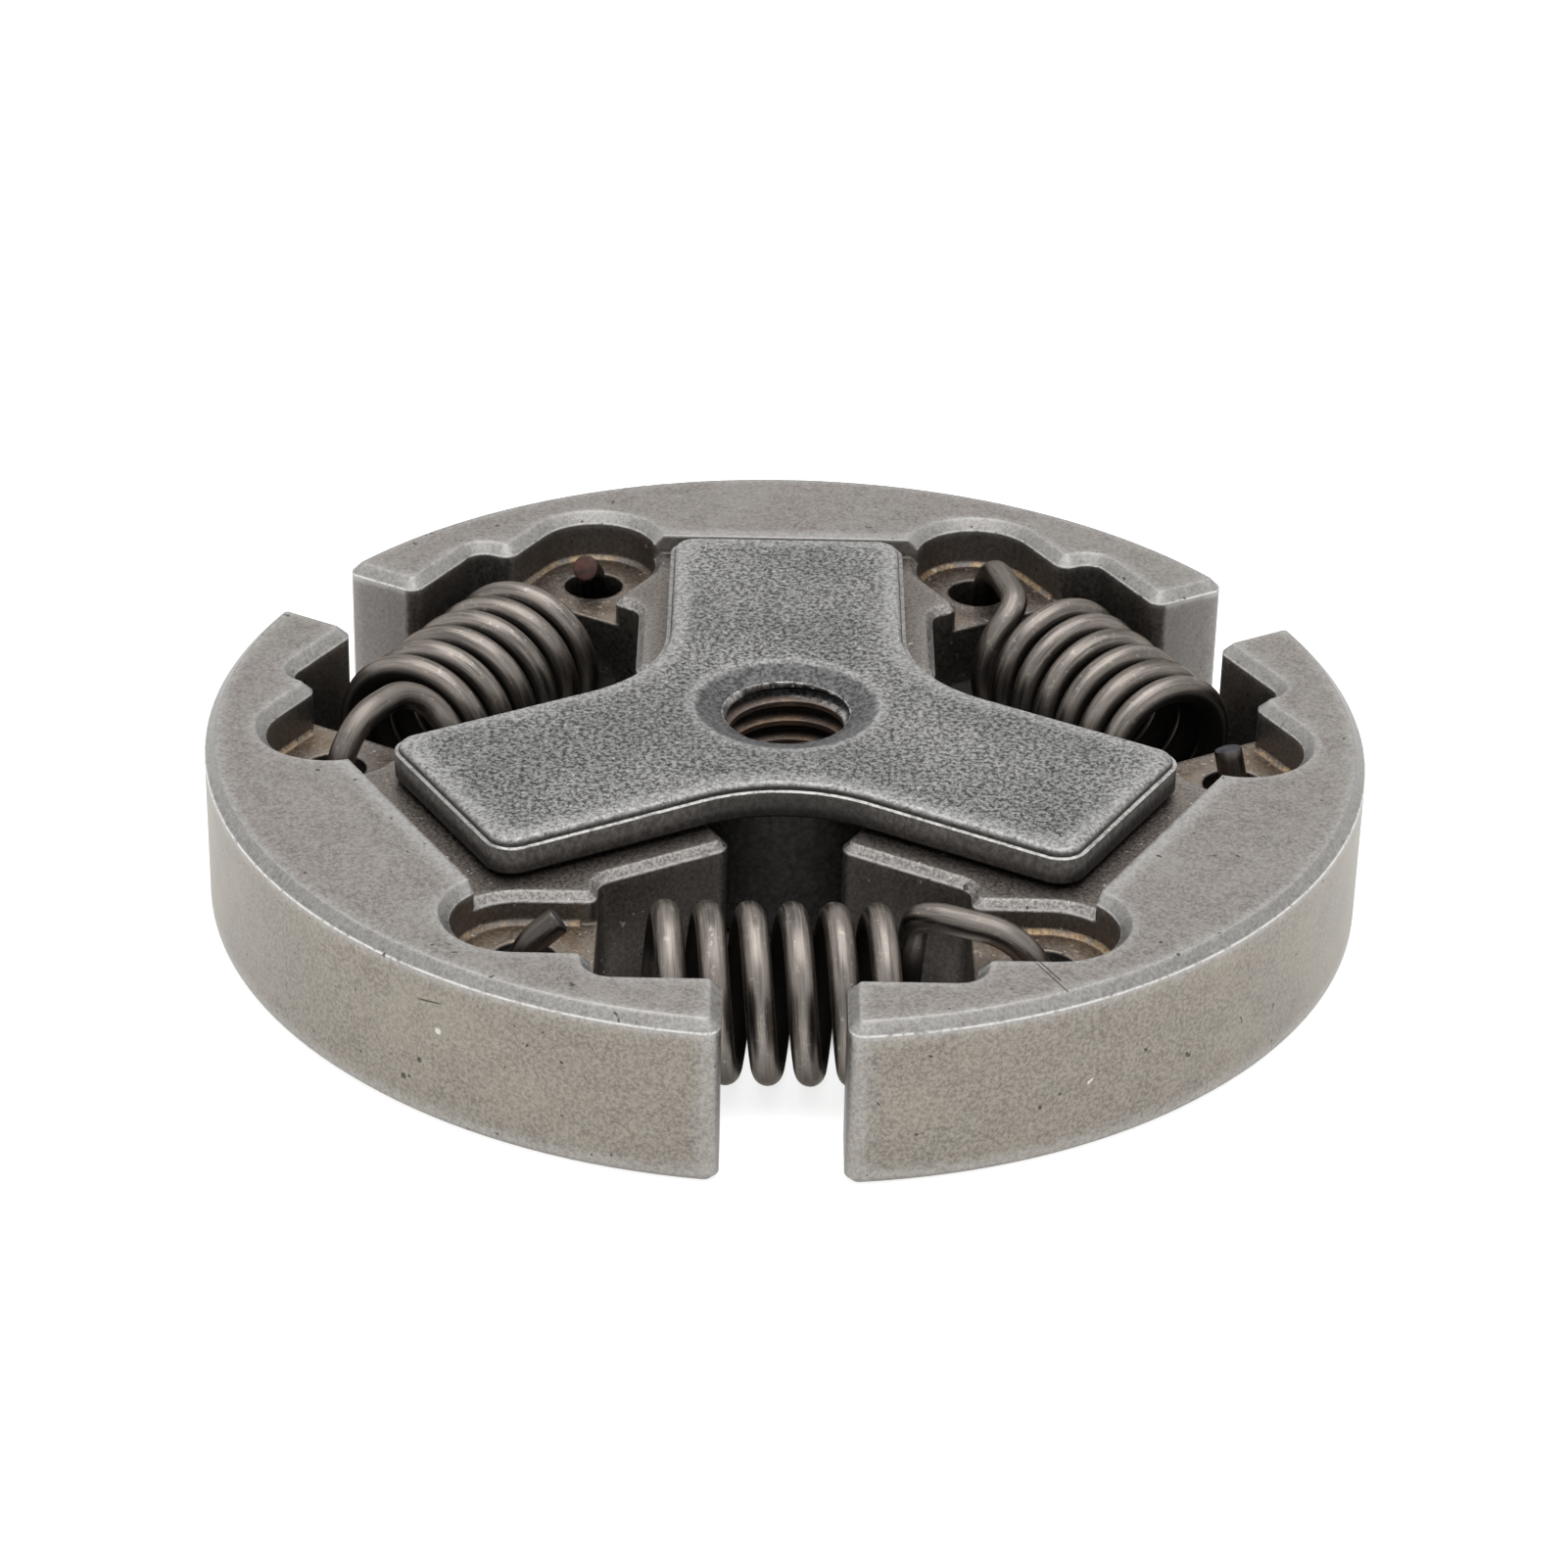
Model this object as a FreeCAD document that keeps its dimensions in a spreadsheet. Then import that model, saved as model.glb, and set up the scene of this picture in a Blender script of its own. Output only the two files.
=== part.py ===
"""Centrifugal chainsaw clutch: a threaded hub with three arms, three sliding shoes and three springs.

The frame stands on the thread axis at the base of the shoes, with +Z up and +Y along the rear arm.
Each shoe is drawn with its arm along +Y, each spring with its pocket along +X, and both are then turned
into place about Z. Lengths are in millimetres and angles in degrees.
"""
import FreeCAD, Part
import Sketcher
import math
import os
import re

Vector = FreeCAD.Vector

SIZES = {
    # shoes
    "rim_radius": 33.0,
    "shoe_height": 9.7,
    "ledge_depth": 1.2,
    "slot_depth": 3.0,
    "end_gap": 6.5,
    "rim_width": 9.05,
    "slot_inset": 11.3,
    "slot_width": 7.4,
    "step_depth": 2.3,
    "lip_land": 1.95,
    "pocket_half": 10.1,
    "hook_land": 4.0,
    "hook_hole": 3.6,
    "hole_inset": 0.25,
    "pocket_round": 1.2,
    "step_round": 0.9,
    "slot_round": 0.6,
    "floor_break": 0.25,
    "finger_round": 0.8,
    "rim_chamfer": 0.6,
    "ledge_chamfer": 0.45,
    "base_chamfer": 0.35,
    # hub
    "hub_radius": 8.3,
    "rest_clearance": 0.15,
    "plate_clearance": 0.2,
    "plate_thickness": 2.1,
    "arm_inset": 1.8,
    "arm_gap": 2.05,
    "arm_blend": 9.0,
    "arm_corner": 1.6,
    "land_width": 0.22,
    "land_depth": 0.45,
    "plate_round": 0.4,
    "plate_base_chamfer": 0.2,
    "guide_width": 7.0,
    "guide_length": 18.5,
    "guide_base": 1.2,
    "guide_clearance": 0.15,
    "thread_core": 6.65,
    "mouth_width": 10.8,
    "mouth_depth": 0.5,
    "lead_width": 7.3,
    "lead_depth": 1.25,
    "base_lead_depth": 0.5,
    "hub_base_chamfer": 0.5,
    # springs
    "wire_width": 1.6,
    "coil_excess": 0.2,
    "coil_pitch": 2.27,
    "coil_turns": 6.5,
    "coil_offset": 0.3,
    "coil_lift": 0.15,
    "bend_radius": 1.4,
    "hook_radius": 3.8,
    "hook_ease": 0.35,
    "hook_slant_angle": 14.0,
    "hook_return_angle": 37.0,
    "hook_tip": 1.6,
}

ARMS = 3
ARM_STEP = 360.0 / ARMS
# A pocket's middle line lies half a step from the arm, so this far from the shoe's own X axis.
POCKET_TURN = 90.0 - ARM_STEP / 2
SHOES = {"shoe_back": 0, "shoe_left": 1, "shoe_right": 2}
SPRINGS = {"spring_right": 0, "spring_left": 1, "spring_front": 2}
# A coil leaves its round this many degrees before the top, to bend out along its own axis.
BEND_LEAD = 40.0
# A spring's two hooks, the one below its web and the one above, dip towards the web by these angles.
HOOK_DIPS = {"spring_right": (6.0, 10.0), "spring_left": (0.0, 0.0), "spring_front": (6.0, 10.0)}
# The corner round a hook slot's floor narrows the floor at this slope.
FLOOR_SLOPE = -45.0
TOUCH = 1e-4

SHEET_NAMES = {alias: f"<<sizes>>.{alias}" for alias in SIZES}

doc = FreeCAD.newDocument("clutch")
sheet = doc.addObject("Spreadsheet::Sheet", "sizes")
for row, (alias, value) in enumerate(SIZES.items(), start=1):
    sheet.set(f"A{row}", alias)
    sheet.set(f"B{row}", str(value))
    sheet.setAlias(f"B{row}", alias)
doc.recompute()


def size(text):
    """The number that an expression of sheet aliases comes to."""
    return float(sheet.evalExpression(text))


def bound(text):
    """The same expression, written so that an object outside the sheet can be bound to it."""
    return re.sub(r"[a-z_]+", lambda word: SHEET_NAMES.get(word.group(), word.group()), text)


def origin_feature(body, role):
    """A body's own origin plane or axis."""
    for feature in body.Origin.OriginFeatures:
        if feature.Role == role:
            return feature
    raise KeyError(role)


def new_sketch(body, name, level="0", turn=0.0, plane="XY_Plane"):
    """A sketch on one of the body's origin planes, raised to a level and turned about the plane's normal."""
    sketch = body.newObject("Sketcher::SketchObject", name)
    sketch.AttachmentSupport = [(origin_feature(body, plane), "")]
    sketch.MapMode = "FlatFace"
    turned = FreeCAD.Rotation(Vector(0, 0, 1), turn)
    sketch.AttachmentOffset = FreeCAD.Placement(Vector(0, 0, size(level)), turned)
    if level != "0":
        sketch.setExpression("AttachmentOffset.Base.z", bound(level))
    return sketch


def pin(sketch, element, point, corner):
    """Hold one point of a sketch at a corner given by two expressions."""
    for kind, text in zip(("DistanceX", "DistanceY"), corner):
        index = sketch.addConstraint(
            Sketcher.Constraint(kind, -1, 1, element, point, size(text)))
        sketch.setExpression(f"Constraints[{index}]", bound(text))


def outline(sketch, corners, arc_after=None, arc_radius=None):
    """A closed outline through corners, straight but for one arc after the corner numbered arc_after."""
    places = [Vector(size(x), size(y), 0) for x, y in corners]
    count = len(places)
    for index, start in enumerate(places):
        end = places[(index + 1) % count]
        if index == arc_after:
            middle = (start + end).normalize() * size(arc_radius)
            sketch.addGeometry(Part.Arc(start, middle, end))
        else:
            sketch.addGeometry(Part.LineSegment(start, end))
    # An arc runs anticlockwise, so one that is travelled clockwise is joined by its other end.
    starts = [1] * count
    ends = [2] * count
    if arc_after is not None:
        arc = sketch.Geometry[arc_after]
        if (arc.StartPoint - places[arc_after]).Length > TOUCH:
            starts[arc_after], ends[arc_after] = 2, 1
    for index in range(count):
        after = (index + 1) % count
        sketch.addConstraint(
            Sketcher.Constraint("Coincident", index, ends[index], after, starts[after]))
    for index, corner in enumerate(corners):
        if index == arc_after:
            pin(sketch, (index - 1) % count, ends[index - 1], corner)
        else:
            pin(sketch, index, starts[index], corner)
    if arc_after is not None:
        index = sketch.addConstraint(Sketcher.Constraint("Radius", arc_after, size(arc_radius)))
        sketch.setExpression(f"Constraints[{index}]", bound(arc_radius))


def block(sketch, half_width, length):
    """A rectangle that starts on the axis and lies evenly to both sides of the sketch's Y."""
    outline(sketch, [(f"-({half_width})", "0"), (half_width, "0"),
                     (half_width, length), (f"-({half_width})", length)])


def circle(sketch, centre, radius):
    """A circle whose centre and radius are expressions."""
    place = Vector(size(centre[0]), size(centre[1]), 0)
    index = sketch.addGeometry(Part.Circle(place, Vector(0, 0, 1), size(radius)))
    held = sketch.addConstraint(Sketcher.Constraint("Radius", index, size(radius)))
    sketch.setExpression(f"Constraints[{held}]", bound(radius))
    if centre == ("0", "0"):
        sketch.addConstraint(Sketcher.Constraint("Coincident", index, 3, -1, 1))
    else:
        pin(sketch, index, 3, centre)


def round_slot(sketch, middle, width, start, end):
    """A slot along the sketch's Y with a square start and a full round at its end."""
    left, right = f"({middle}) - ({width}) / 2", f"({middle}) + ({width}) / 2"
    low_left = Vector(size(left), size(start), 0)
    low_right = Vector(size(right), size(start), 0)
    high_left = Vector(size(left), size(end), 0)
    high_right = Vector(size(right), size(end), 0)
    crown = Vector(size(middle), size(end) + size(width) / 2, 0)
    bottom = sketch.addGeometry(Part.LineSegment(low_left, low_right))
    rise = sketch.addGeometry(Part.LineSegment(low_right, high_right))
    sketch.addGeometry(Part.Arc(high_right, crown, high_left))
    sketch.addGeometry(Part.LineSegment(high_left, low_left))
    arc, fall = rise + 1, rise + 2
    sketch.addConstraint(Sketcher.Constraint("Coincident", bottom, 2, rise, 1))
    sketch.addConstraint(Sketcher.Constraint("Coincident", fall, 2, bottom, 1))
    sketch.addConstraint(Sketcher.Constraint("Tangent", rise, 2, arc, 1))
    sketch.addConstraint(Sketcher.Constraint("Tangent", arc, 2, fall, 1))
    sketch.addConstraint(Sketcher.Constraint("Vertical", rise))
    sketch.addConstraint(Sketcher.Constraint("Horizontal", bottom))
    pin(sketch, bottom, 1, (left, start))
    pin(sketch, arc, 3, (middle, end))


def pad(body, sketch, length, name):
    """Raise a sketch into a solid of the given height."""
    feature = body.newObject("PartDesign::Pad", name)
    feature.Profile = sketch
    feature.Length = size(length)
    feature.setExpression("Length", bound(length))
    doc.recompute()
    return feature


def pocket(body, sketch, depth, name, upwards=False):
    """Cut a sketch down into the body, or up into it from below, and make sure that it cut."""
    before = body.Shape.Volume
    feature = body.newObject("PartDesign::Pocket", name)
    feature.Profile = sketch
    feature.Length = size(depth)
    feature.setExpression("Length", bound(depth))
    feature.Reversed = upwards
    doc.recompute()
    if body.Shape.Volume > before - TOUCH:
        raise RuntimeError(f"{name} cuts nothing")
    return feature


def edge_names(shape, wanted):
    """The names of the edges for which wanted(edge) holds."""
    return [f"Edge{number}" for number, edge in enumerate(shape.Edges, start=1) if wanted(edge)]


def dress(body, kind, name, amount, wanted):
    """Fillet or chamfer the wanted edges of the body as it stands."""
    base = body.Tip
    names = edge_names(base.Shape, wanted)
    if not names:
        raise RuntimeError(f"{name} finds no edge")
    feature = body.newObject(f"PartDesign::{kind}", name)
    feature.Base = (base, names)
    measure = "Radius" if kind == "Fillet" else "Size"
    setattr(feature, measure, size(amount))
    feature.setExpression(measure, bound(amount))
    doc.recompute()
    return feature


def upright_at(places):
    """A test for vertical edges that stand at one of the given plan places."""
    def wanted(edge):
        low, high = edge.Vertexes[0].Point, edge.Vertexes[-1].Point
        upright = math.hypot(low.x - high.x, low.y - high.y) < TOUCH
        if not upright or abs(low.z - high.z) < TOUCH:
            return False
        return any(math.hypot(low.x - x, low.y - y) < 100 * TOUCH for x, y in places)
    return wanted


def lies_level(edge, height):
    """Whether an edge lies in the plane at the given height."""
    box = edge.BoundBox
    return abs(box.ZMin - height) < TOUCH and abs(box.ZMax - height) < TOUCH


def middle_of(edge):
    """The point halfway along an edge."""
    return edge.valueAt((edge.FirstParameter + edge.LastParameter) / 2)


def pocket_place(outward, along, side=1):
    """A point beside a pocket, from its distances outward and along, in the shoe's own frame."""
    x = f"({outward}) * cos({POCKET_TURN}) - ({along}) * sin({POCKET_TURN})"
    y = f"({outward}) * sin({POCKET_TURN}) + ({along}) * cos({POCKET_TURN})"
    return f"{side} * ({x})", y


def place_of(corner):
    """A corner's two expressions as numbers."""
    return size(corner[0]), size(corner[1])


# Places that several pieces share, worked out from the rim inward and from the shoe's top downward.
CHORD = "rim_radius - rim_width"
SLOT_MIDDLE = "rim_radius - slot_inset"
SLOT_OUTER = f"{SLOT_MIDDLE} + slot_width / 2"
SLOT_INNER = f"{SLOT_MIDDLE} - slot_width / 2"
FINGER_FACE = f"{SLOT_OUTER} + step_depth"
SLOT_START = "pocket_half - slot_width / 4"
HOOK_REACH = "pocket_half + hook_land"
TONGUE_HALF, WALL_START = pocket_place(f"{SLOT_INNER} - lip_land", "pocket_half")
TONGUE_START = "hub_radius + rest_clearance"
LEDGE = "shoe_height - ledge_depth"
PLATE_BASE = f"{LEDGE} + plate_clearance"
PLATE_TOP = f"{PLATE_BASE} + plate_thickness"
ARM_HALF = f"{TONGUE_HALF} - arm_inset"
ARM_LENGTH = f"{CHORD} - arm_gap"
GUIDE_HALF = "guide_width / 2 + guide_clearance"
GUIDE_END = "guide_length + rest_clearance"


def round_the_axis(body, feature, name):
    """Repeat a feature once for each arm."""
    pattern = body.newObject("PartDesign::PolarPattern", name)
    pattern.Originals = [feature]
    pattern.Axis = (origin_feature(body, "Z_Axis"), [""])
    pattern.Angle = 360
    pattern.Occurrences = ARMS
    body.Tip = pattern
    doc.recompute()


def make_hub():
    """Sintered hub: threaded column, three guide arms and the Y-shaped plate that covers the shoes."""
    body = doc.addObject("PartDesign::Body", "hub")
    arm = new_sketch(body, "arm_outline", PLATE_BASE)
    block(arm, ARM_HALF, ARM_LENGTH)
    arm_plate = pad(body, arm, "plate_thickness", "arm_plate")
    round_the_axis(body, arm_plate, "plate_arms")

    def on_plate_top(edge):
        return lies_level(edge, size(PLATE_TOP))

    # Neighbouring arm sides meet on the pocket's middle line, where a wide round joins them.
    half_width, length = size(ARM_HALF), size(ARM_LENGTH)
    meeting = half_width / math.sin(math.radians(ARM_STEP / 2))
    crotches, corners = [], []
    for step in range(ARMS):
        turn = FreeCAD.Rotation(Vector(0, 0, 1), step * ARM_STEP)
        crotch = turn.multVec(Vector(0, -meeting, 0))
        crotches.append((crotch.x, crotch.y))
        for side in (-half_width, half_width):
            corner = turn.multVec(Vector(side, length, 0))
            corners.append((corner.x, corner.y))
    dress(body, "Fillet", "arm_blends", "arm_blend", upright_at(crotches))
    plate = dress(body, "Fillet", "arm_corners", "arm_corner", upright_at(corners))

    # The press leaves a narrow flat land round the plate, below its rounded top edge.
    land = new_sketch(body, "land_profile", plane="YZ_Plane")
    land_in, land_out = (f"{ARM_LENGTH} {sign} land_width" for sign in "-+")
    land_low, land_high = (f"{PLATE_TOP} {sign} land_depth" for sign in "-+")
    outline(land, [(land_in, land_low), (land_out, land_low), (land_out, land_high), (land_in, land_high)])
    groove = body.newObject("PartDesign::SubtractivePipe", "land")
    groove.Profile = land
    groove.Spine = (plate, edge_names(plate.Shape, on_plate_top))
    doc.recompute()
    dress(body, "Fillet", "plate_rim", "plate_round", on_plate_top)
    dress(body, "Chamfer", "plate_base_rim", "plate_base_chamfer",
          lambda edge: lies_level(edge, size(PLATE_BASE)))

    column = new_sketch(body, "column_outline")
    circle(column, ("0", "0"), "hub_radius")
    pad(body, column, PLATE_BASE, "column")
    dress(body, "Chamfer", "column_base_rim", "hub_base_chamfer",
          lambda edge: lies_level(edge, 0))
    guide = new_sketch(body, "guide_outline", "guide_base")
    block(guide, "guide_width / 2", "guide_length")
    guide_web = pad(body, guide, f"{PLATE_BASE} - guide_base", "guide_web")
    round_the_axis(body, guide_web, "guide_arms")

    # The bore is cut at the thread's core width, with a dished mouth above it and a lead-in at each end.
    bore = new_sketch(body, "bore_profile", plane="XZ_Plane")
    core, lead, mouth = "thread_core / 2", "lead_width / 2", "mouth_width / 2"
    outline(bore, [("0", "0"), (lead, "0"), (core, "base_lead_depth"),
                   (core, f"{PLATE_TOP} - lead_depth"), (lead, f"{PLATE_TOP} - mouth_depth"),
                   (mouth, PLATE_TOP), ("0", PLATE_TOP)])
    groove = body.newObject("PartDesign::Groove", "bore")
    groove.Profile = bore
    groove.ReferenceAxis = (origin_feature(body, "Z_Axis"), [""])
    groove.Angle = 360
    doc.recompute()
    return body


def make_shoe(label, step):
    """Sintered shoe: a rim sector with two spring pockets, hook slots and a guide slot for its arm."""
    body = doc.addObject("PartDesign::Body", label)
    finger_end = "sqrt(rim_radius ^ 2 - (end_gap / 2) ^ 2)"

    def flank(side):
        return [(f"{side} * ({TONGUE_HALF})", TONGUE_START),
                (f"{side} * ({TONGUE_HALF})", WALL_START),
                pocket_place(FINGER_FACE, "pocket_half", side),
                pocket_place(FINGER_FACE, "end_gap / 2", side),
                pocket_place(finger_end, "end_gap / 2", side)]

    right, left = flank(1), flank(-1)
    blank = new_sketch(body, "blank_outline")
    outline(blank, right + left[::-1], arc_after=len(right) - 1, arc_radius="rim_radius")
    pad(body, blank, "shoe_height", "blank")

    # The ledge lets the shoe slide under the arm's plate. Its sides end inside the hook slots.
    ledge = new_sketch(body, "ledge_outline", "shoe_height")
    block(ledge, pocket_place(SLOT_MIDDLE, HOOK_REACH)[0], CHORD)
    pocket(body, ledge, "ledge_depth", "ledge")
    guide = new_sketch(body, "guide_slot_outline", "shoe_height")
    block(guide, GUIDE_HALF, GUIDE_END)
    pocket(body, guide, "shoe_height", "guide_slot")

    # Each hook slot is sunk from above and from below, and leaves a web with the hook's hole.
    slot = (SLOT_MIDDLE, "slot_width", SLOT_START, HOOK_REACH)
    upper = new_sketch(body, "upper_slot_outline", "shoe_height", POCKET_TURN)
    round_slot(upper, *slot)
    upper_slot = pocket(body, upper, "slot_depth - floor_break", "upper_slot")
    # The floor meets the slot's wall in a sloping corner, as pressed corners do.
    floor = new_sketch(body, "slot_floor_outline", "shoe_height - slot_depth + floor_break", POCKET_TURN)
    round_slot(floor, *slot)
    slot_floor = pocket(body, floor, "floor_break", "slot_floor")
    slot_floor.TaperAngle = FLOOR_SLOPE
    doc.recompute()
    # The slope stops short of the slot's open end, where the upright corners are rounded.
    mouth = new_sketch(body, "slot_mouth_outline", "shoe_height", POCKET_TURN)
    mouth_end = "pocket_half + step_round"
    outline(mouth, [(SLOT_INNER, SLOT_START), (SLOT_OUTER, SLOT_START),
                    (SLOT_OUTER, mouth_end), (SLOT_INNER, mouth_end)])
    slot_mouth = pocket(body, mouth, "slot_depth", "slot_mouth")
    lower = new_sketch(body, "lower_slot_outline", turn=POCKET_TURN)
    round_slot(lower, *slot)
    lower_slot = pocket(body, lower, "slot_depth", "lower_slot", upwards=True)
    hole = new_sketch(body, "hook_hole_outline", "shoe_height", POCKET_TURN)
    circle(hole, (SLOT_MIDDLE, f"{HOOK_REACH} - hole_inset"), "hook_hole / 2")
    hook_hole = pocket(body, hole, "shoe_height", "hook_hole")
    mirrored = body.newObject("PartDesign::Mirrored", "other_side")
    mirrored.Originals = [upper_slot, slot_floor, slot_mouth, lower_slot, hook_hole]
    mirrored.MirrorPlane = (origin_feature(body, "YZ_Plane"), [""])
    body.Tip = mirrored
    doc.recompute()

    round_shoe_corners(body, finger_end)
    chamfer_shoe(body)
    body.Placement = FreeCAD.Placement(Vector(), FreeCAD.Rotation(Vector(0, 0, 1), step * ARM_STEP))
    return body


def round_shoe_corners(body, finger_end):
    """Round the upright corners of the pockets, slots and fingers."""
    def both(corner_on):
        return [place_of(corner_on(side)) for side in (1, -1)]

    pocket_corners = both(lambda side: pocket_place(FINGER_FACE, "pocket_half", side))
    pocket_corners += both(lambda side: (f"{side} * ({TONGUE_HALF})", WALL_START))
    dress(body, "Fillet", "pocket_corners", "pocket_round", upright_at(pocket_corners))
    steps = both(lambda side: pocket_place(SLOT_OUTER, "pocket_half", side))
    dress(body, "Fillet", "slot_steps", "step_round", upright_at(steps))
    lips = both(lambda side: pocket_place(SLOT_INNER, "pocket_half", side))
    dress(body, "Fillet", "slot_lips", "slot_round", upright_at(lips))
    ends = both(lambda side: pocket_place(FINGER_FACE, "end_gap / 2", side))
    ends += both(lambda side: pocket_place(finger_end, "end_gap / 2", side))
    ends += both(lambda side: (f"{side} * ({TONGUE_HALF})", TONGUE_START))
    dress(body, "Fillet", "finger_corners", "finger_round", upright_at(ends))


def chamfer_shoe(body):
    """Break the pressed edges: the rim's top, the ledge's outer edges and the base."""
    chord, top, ledge = size(CHORD), size("shoe_height"), size(LEDGE)
    guide_half = size(GUIDE_HALF)

    def off_chord(edge):
        return abs(middle_of(edge).y - chord) > TOUCH

    def off_guide(edge):
        return abs(middle_of(edge).x) > guide_half + TOUCH

    dress(body, "Chamfer", "rim_edges", "rim_chamfer",
          lambda edge: lies_level(edge, top) and off_chord(edge))
    dress(body, "Chamfer", "ledge_edges", "ledge_chamfer",
          lambda edge: lies_level(edge, ledge) and off_chord(edge) and off_guide(edge))
    dress(body, "Chamfer", "base_edges", "base_chamfer",
          lambda edge: lies_level(edge, 0) and off_guide(edge))


def hook_edges(start, tangent, dip_angle):
    """The centre line from a coil's end: a bend into the hook's leg, then the hook over the web."""
    slant, dip = math.radians(size("hook_slant_angle")), math.radians(dip_angle)
    level = Vector(math.sin(slant), math.cos(slant), 0)
    leg = level * math.cos(dip) - Vector(0, 0, math.sin(dip))
    drop = level * -math.sin(dip) - Vector(0, 0, math.cos(dip))
    inward = (leg - tangent * tangent.dot(leg)).normalize()
    radius = size("bend_radius")
    centre = start + inward * radius
    turn = tangent.getAngle(leg)

    def on_bend(angle):
        return centre - inward * (radius * math.cos(angle)) + tangent * (radius * math.sin(angle))

    bend_end = on_bend(turn)
    edges = [Part.Arc(start, on_bend(turn / 2), bend_end).toShape()]
    hook = size("hook_radius")
    crown_reach = size(f"{HOOK_REACH} + hook_ease") - hook
    crown = bend_end + leg * ((crown_reach - bend_end.y) / leg.y)
    edges.append(Part.LineSegment(bend_end, crown).toShape())
    sweep = math.radians(90 + size("hook_return_angle")) - dip

    def on_hook(angle):
        return crown + leg * (hook * math.sin(angle)) + drop * (hook * (1 - math.cos(angle)))

    hook_end = on_hook(sweep)
    edges.append(Part.Arc(crown, on_hook(sweep / 2), hook_end).toShape())
    tip = hook_end + (leg * math.cos(sweep) + drop * math.sin(sweep)) * size("hook_tip")
    edges.append(Part.LineSegment(hook_end, tip).toShape())
    return edges


def spring_line(low_dip, high_dip):
    """A spring's centre line, with its pocket along +X: a right-hand coil with a hook at each end."""
    radius = size("(shoe_height + coil_excess - wire_width) / 2")
    pitch = size("coil_pitch")
    middle = Vector(size(f"{SLOT_MIDDLE} + coil_offset"), 0, size("shoe_height / 2 + coil_lift"))
    turns = size("coil_turns") - 2 * BEND_LEAD / 360
    first = math.radians(180 + BEND_LEAD)
    across = Vector(math.sin(first), 0, math.cos(first))
    onward = Vector(math.cos(first), 0, -math.sin(first))
    coil = Part.makeHelix(pitch, turns * pitch, radius)
    frame = FreeCAD.Rotation(across, onward, Vector(0, 1, 0), "XYZ")
    coil.Placement = FreeCAD.Placement(middle - Vector(0, turns * pitch / 2, 0), frame)

    last = math.radians(-BEND_LEAD)
    end = middle + Vector(radius * math.sin(last), turns * pitch / 2, radius * math.cos(last))
    tangent = Vector(radius * math.cos(last), pitch / (2 * math.pi), -radius * math.sin(last))
    tangent.normalize()
    high_hook = Part.Wire(hook_edges(end, tangent, high_dip))
    # Half a turn about the pocket's own line carries a hook to the other end of the coil.
    low_hook = Part.Wire(hook_edges(end, tangent, low_dip))
    low_hook.rotate(middle, Vector(1, 0, 0), 180)
    edges = low_hook.Edges + coil.Edges + high_hook.Edges
    return Part.Wire(Part.__sortEdges__(edges))


def make_spring(label, step):
    """Helical tension spring, swept from a round wire along its centre line."""
    line = doc.addObject("Part::Feature", f"{label}_line")
    line.Shape = spring_line(*HOOK_DIPS[label])
    tip = line.Shape.OrderedEdges[0]
    section = doc.addObject("Part::Circle", f"{label}_section")
    section.Radius = size("wire_width / 2")
    section.setExpression("Radius", bound("wire_width / 2"))
    start = tip.valueAt(tip.FirstParameter)
    section.Placement = FreeCAD.Placement(
        start, FreeCAD.Rotation(Vector(0, 0, 1), tip.tangentAt(tip.FirstParameter)))
    spring = doc.addObject("Part::Sweep", label)
    spring.Sections = [section]
    spring.Spine = (line, [f"Edge{n}" for n in range(1, len(line.Shape.Edges) + 1)])
    spring.Solid = True
    spring.Frenet = False
    spring.Transition = "Right corner"
    doc.recompute()
    turned = FreeCAD.Rotation(Vector(0, 0, 1), POCKET_TURN + step * ARM_STEP)
    spring.Placement = FreeCAD.Placement(Vector(), turned)
    return spring


nodes = [make_hub()]
nodes += [make_shoe(label, step) for label, step in SHOES.items()]
nodes += [make_spring(label, step) for label, step in SPRINGS.items()]
doc.recompute()

for item in doc.Objects:
    if "Invalid" in item.State or "Error" in item.State:
        raise RuntimeError(f"{item.Label} failed: {item.State}")
os.makedirs("parts", exist_ok=True)
for node in nodes:
    shape = node.Shape
    if shape.isNull() or not shape.isValid() or len(shape.Solids) != 1:
        raise RuntimeError(f"{node.Label} is not one sound solid")
    print(f"{node.Label}: {shape.Volume:.1f} mm3, {len(shape.Faces)} faces")
for node in nodes:
    node.Shape.exportStep(f"parts/{node.Label}.step")
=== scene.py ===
# %% [markdown]
# # A chainsaw's centrifugal clutch
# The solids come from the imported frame: a sintered hub, three sintered shoes that slide on its arms, and
# three tension springs that pull the shoes inward. This lesson dresses them: it cuts the hub's thread,
# winds the springs from wire, gives each surface its finish, and sets up the camera and a white table.

# %% Load the frame
import bpy
import bmesh
import math
from collections import namedtuple
from mathutils import Matrix, Vector


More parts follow.
